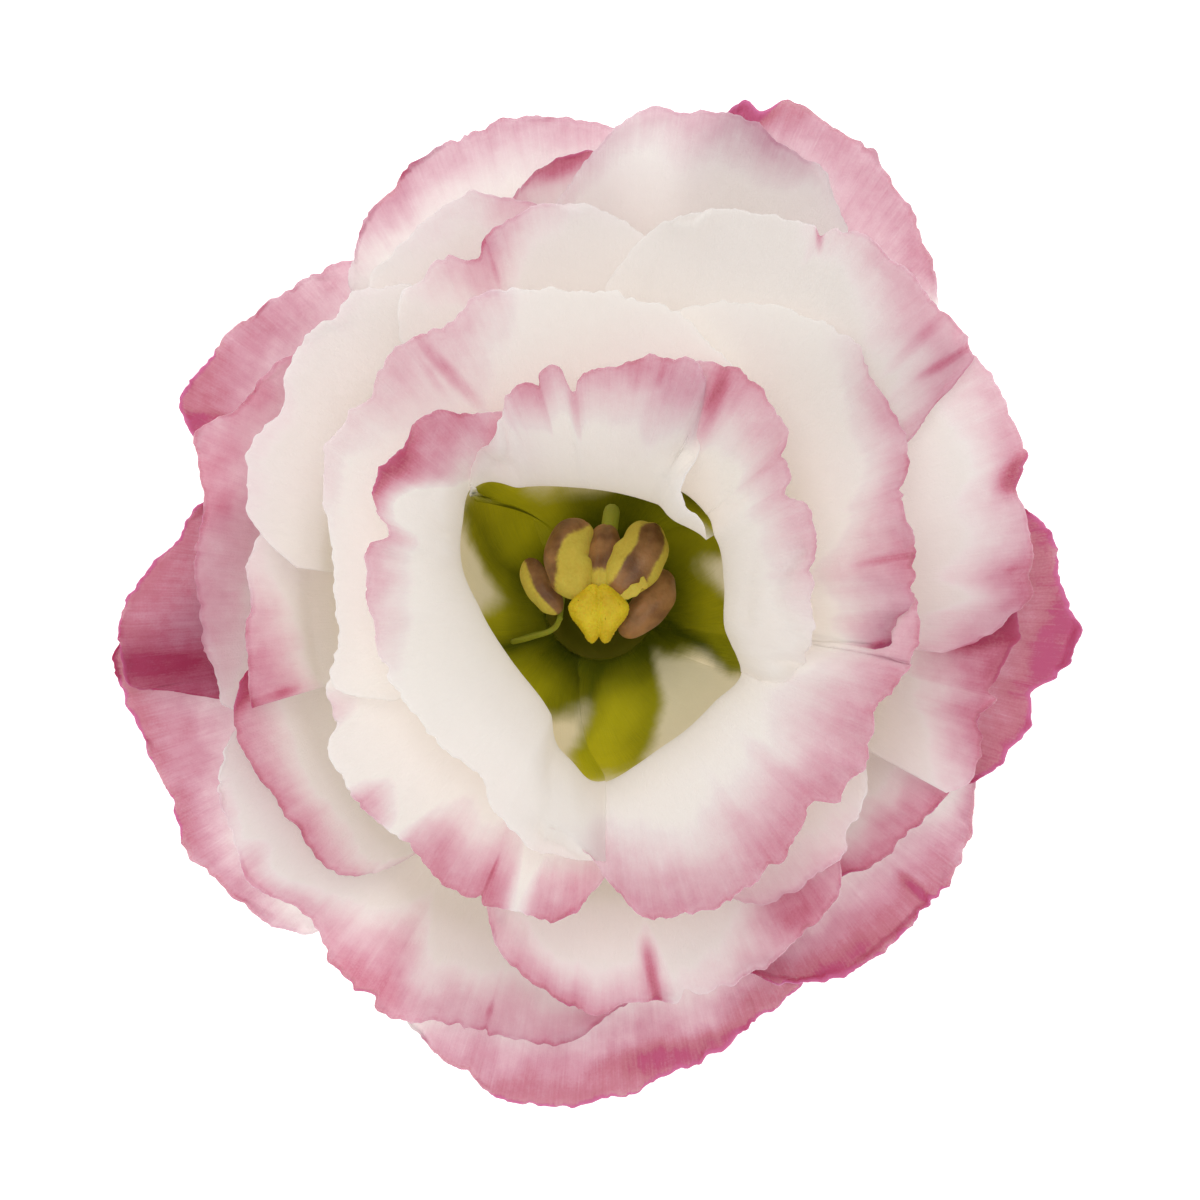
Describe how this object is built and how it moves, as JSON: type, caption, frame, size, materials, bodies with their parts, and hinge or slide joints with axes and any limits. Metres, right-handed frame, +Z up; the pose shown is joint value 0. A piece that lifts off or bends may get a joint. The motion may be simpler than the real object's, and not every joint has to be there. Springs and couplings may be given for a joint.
{
  "type": "lisianthus flower",
  "caption": "Double lisianthus bloom with ruffled, pink-edged white petals round a green throat, cut under its calyx and lying face up.",
  "frame": {"origin": "middle of the cut face of the stem, on the surface that the bloom rests on", "axes": "+Z up, out of the face of the bloom; +Y towards the top of the picture, +X towards its right"},
  "size_m": [0.0724, 0.0758, 0.0421],
  "materials": {
    "petal": "cream-white petal with a lilac-pink edge, matt and softly translucent",
    "petal_throat": "cream-white petal, yellow-green low in the throat, with a broad pink edge",
    "petal_outer": "outermost petal, pink with dark rose veins and edge",
    "calyx": "green, matt and slightly waxy",
    "stamen": "pale filament, brown anther with yellow pollen",
    "pistil": "green ovary and style, velvety yellow stigma"
  },
  "bodies": {
    "root": {"petal_1_top": "petal_throat", "petal_1_right": "petal_throat", "petal_1_left": "petal_throat", "petal_1_bottom": "petal_throat", "petal_2_left": "petal", "petal_2_right": "petal", "petal_2_low_left": "petal", "petal_3_top_right": "petal", "petal_3_top_left": "petal", "petal_3_behind_top_left": "petal", "petal_3_upper_left": "petal", "petal_3_left": "petal", "petal_3_lower_left": "petal", "petal_3_bottom_left": "petal", "petal_3_bottom": "petal", "petal_3_low_right_small": "petal", "petal_3_low_right": "petal", "petal_3_right_lower": "petal", "petal_3_right_upper": "petal", "petal_4_left_strip": "petal", "petal_4_behind_top": "petal", "petal_5_top": "petal_outer", "petal_5_top_right": "petal_outer", "petal_5_top_left": "petal_outer", "petal_5_upper_left": "petal_outer", "petal_5_left": "petal_outer", "petal_5_lower_left": "petal_outer", "petal_5_bottom": "petal_outer", "petal_5_low_right": "petal_outer", "petal_5_right": "petal_outer", "calyx": "calyx", "stamen_1": "stamen", "stamen_2": "stamen", "stamen_3": "stamen", "stamen_4": "stamen", "stamen_5": "stamen", "pistil": "pistil"}
  },
  "joints": []
}
